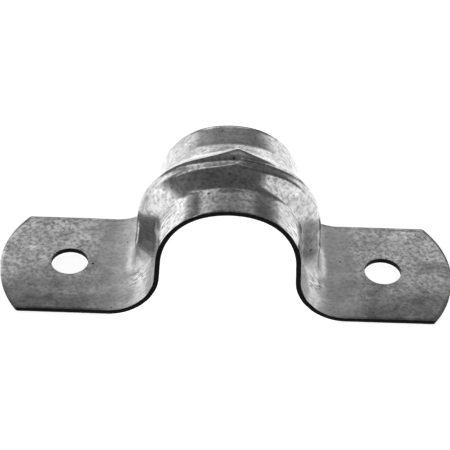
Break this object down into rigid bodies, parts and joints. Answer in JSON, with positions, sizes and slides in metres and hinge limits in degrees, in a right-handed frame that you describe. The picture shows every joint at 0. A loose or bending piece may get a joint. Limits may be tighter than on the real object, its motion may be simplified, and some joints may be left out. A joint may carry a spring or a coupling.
{
  "type": "conduit strap",
  "caption": "Pressed sheet-steel strap with a ribbed round saddle and two flat feet, each with a screw hole, that holds a conduit to a wall.",
  "frame": {"origin": "on the wall plane that the feet rest on, under the middle of the saddle", "axes": "+X along the strap from foot to foot, +Y along the conduit, +Z out from the wall"},
  "size_m": [0.064, 0.019, 0.0218],
  "materials": {
    "galvanised_steel": "hot-dip galvanised sheet, mottled semi-gloss zinc, with darker sheared edges"
  },
  "bodies": {
    "root": {"strap": "galvanised_steel"}
  },
  "joints": []
}
